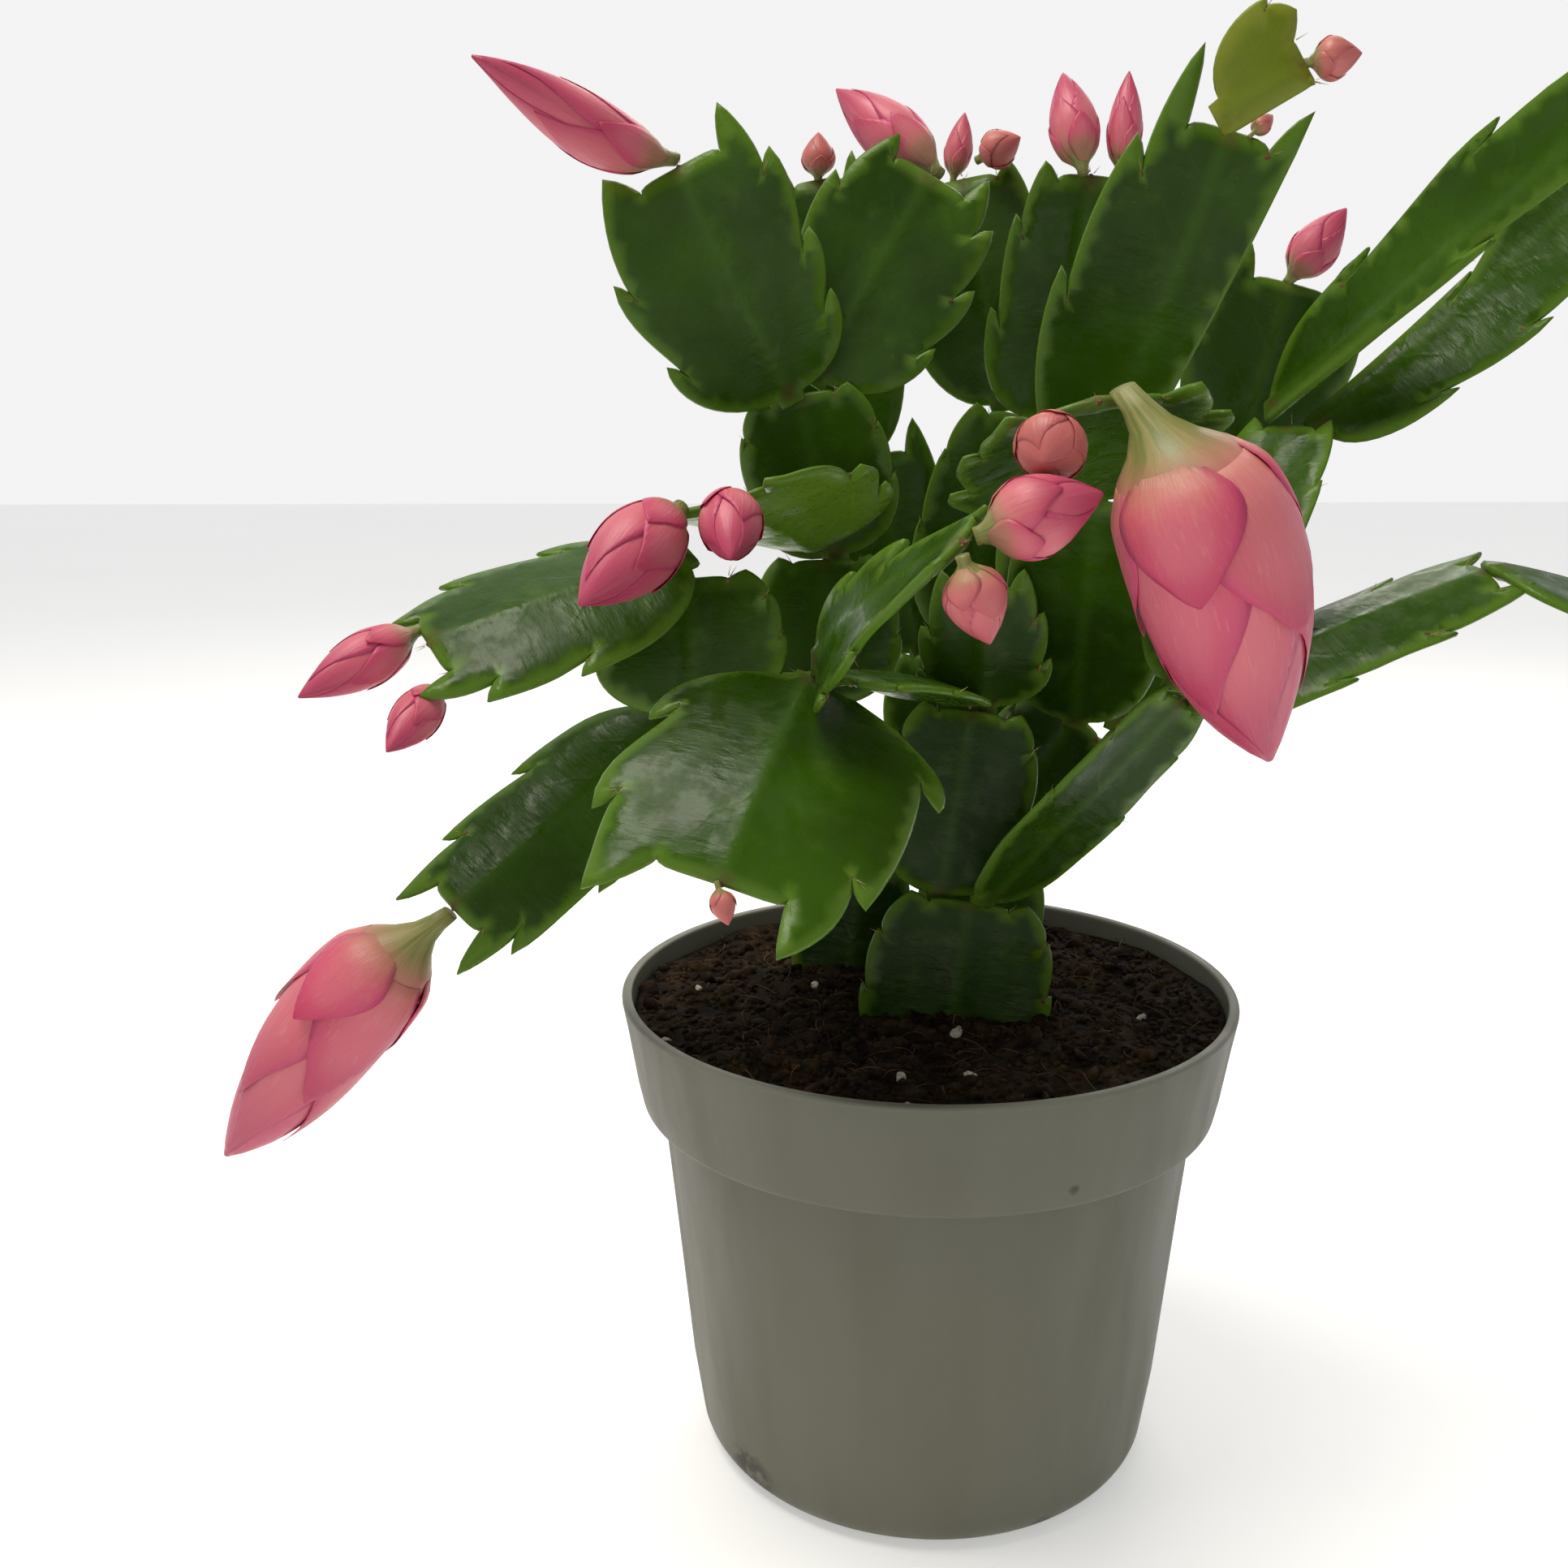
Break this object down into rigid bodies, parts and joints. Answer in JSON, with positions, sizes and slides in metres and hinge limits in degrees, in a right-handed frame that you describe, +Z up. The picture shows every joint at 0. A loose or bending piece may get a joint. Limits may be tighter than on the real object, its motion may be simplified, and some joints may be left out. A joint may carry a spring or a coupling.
{
  "type": "potted christmas cactus",
  "caption": "Christmas cactus in bud, with flat toothed stem segments and pink flower buds, rooted in peat in a small stepped-rim nursery pot.",
  "frame": {"origin": "centre of the pot's base, on the surface that the pot stands on", "axes": "+Z straight up out of the pot; -Y towards the front of the plant, where the two largest segments and the large buds reach forward; +X to the right as seen from the front"},
  "size_m": [0.2114, 0.113, 0.2001],
  "materials": {
    "pot_plastic": "matte",
    "peat": "matte",
    "segment_green": "satin",
    "young_green": "satin",
    "bud_pink": "satin"
  },
  "bodies": {
    "root": {"pot": "pot_plastic", "soil": "peat", "front_stem_base": "segment_green", "front_stem_middle": "segment_green", "front_stem_top": "segment_green", "front_arm_segment": "segment_green", "front_broad_segment": "segment_green", "front_twisted_segment": "segment_green", "right_branch_base": "segment_green", "right_arching_segment": "segment_green", "right_end_segment": "segment_green", "right_branch_riser": "segment_green", "right_upper_segment": "segment_green", "right_lower_segment": "segment_green", "left_stem_base": "segment_green", "left_stem_lower": "segment_green", "left_stem_middle": "segment_green", "left_stem_top": "segment_green", "left_crown_segment": "segment_green", "middle_crown_segment": "segment_green", "left_level_segment": "segment_green", "left_arm_segment": "segment_green", "left_drooping_segment": "segment_green", "left_riser_segment": "segment_green", "left_outer_segment": "segment_green", "back_stem_base": "segment_green", "back_stem_lower": "segment_green", "back_left_segment": "segment_green", "back_right_segment": "segment_green", "back_crown_left": "segment_green", "back_crown_right": "segment_green", "back_crown_middle": "segment_green", "centre_stem_base": "segment_green", "centre_left_segment": "segment_green", "centre_stem_middle": "segment_green", "tall_crown_segment": "segment_green", "young_segment": "young_green", "flower_arm_segment": "segment_green", "right_stem_segment": "segment_green", "right_crown_segment": "segment_green", "bud_left_crown": "bud_pink", "bud_back_crown": "bud_pink", "bud_middle_crown": "bud_pink", "bud_back_small": "bud_pink", "bud_back_leaning": "bud_pink", "bud_back_right": "bud_pink", "bud_back_right_small": "bud_pink", "bud_young_segment": "bud_pink", "bud_tall_tiny": "bud_pink", "bud_right_crown": "bud_pink", "bud_flower_arm": "bud_pink", "bud_twisted_pointed": "bud_pink", "bud_twisted_hanging": "bud_pink", "bud_level_long": "bud_pink", "bud_level_round": "bud_pink", "bud_outer_upper": "bud_pink", "bud_outer_lower": "bud_pink", "large_bud_right": "bud_pink", "large_bud_left": "bud_pink", "bud_stub_front": "bud_pink"}
  },
  "joints": []
}
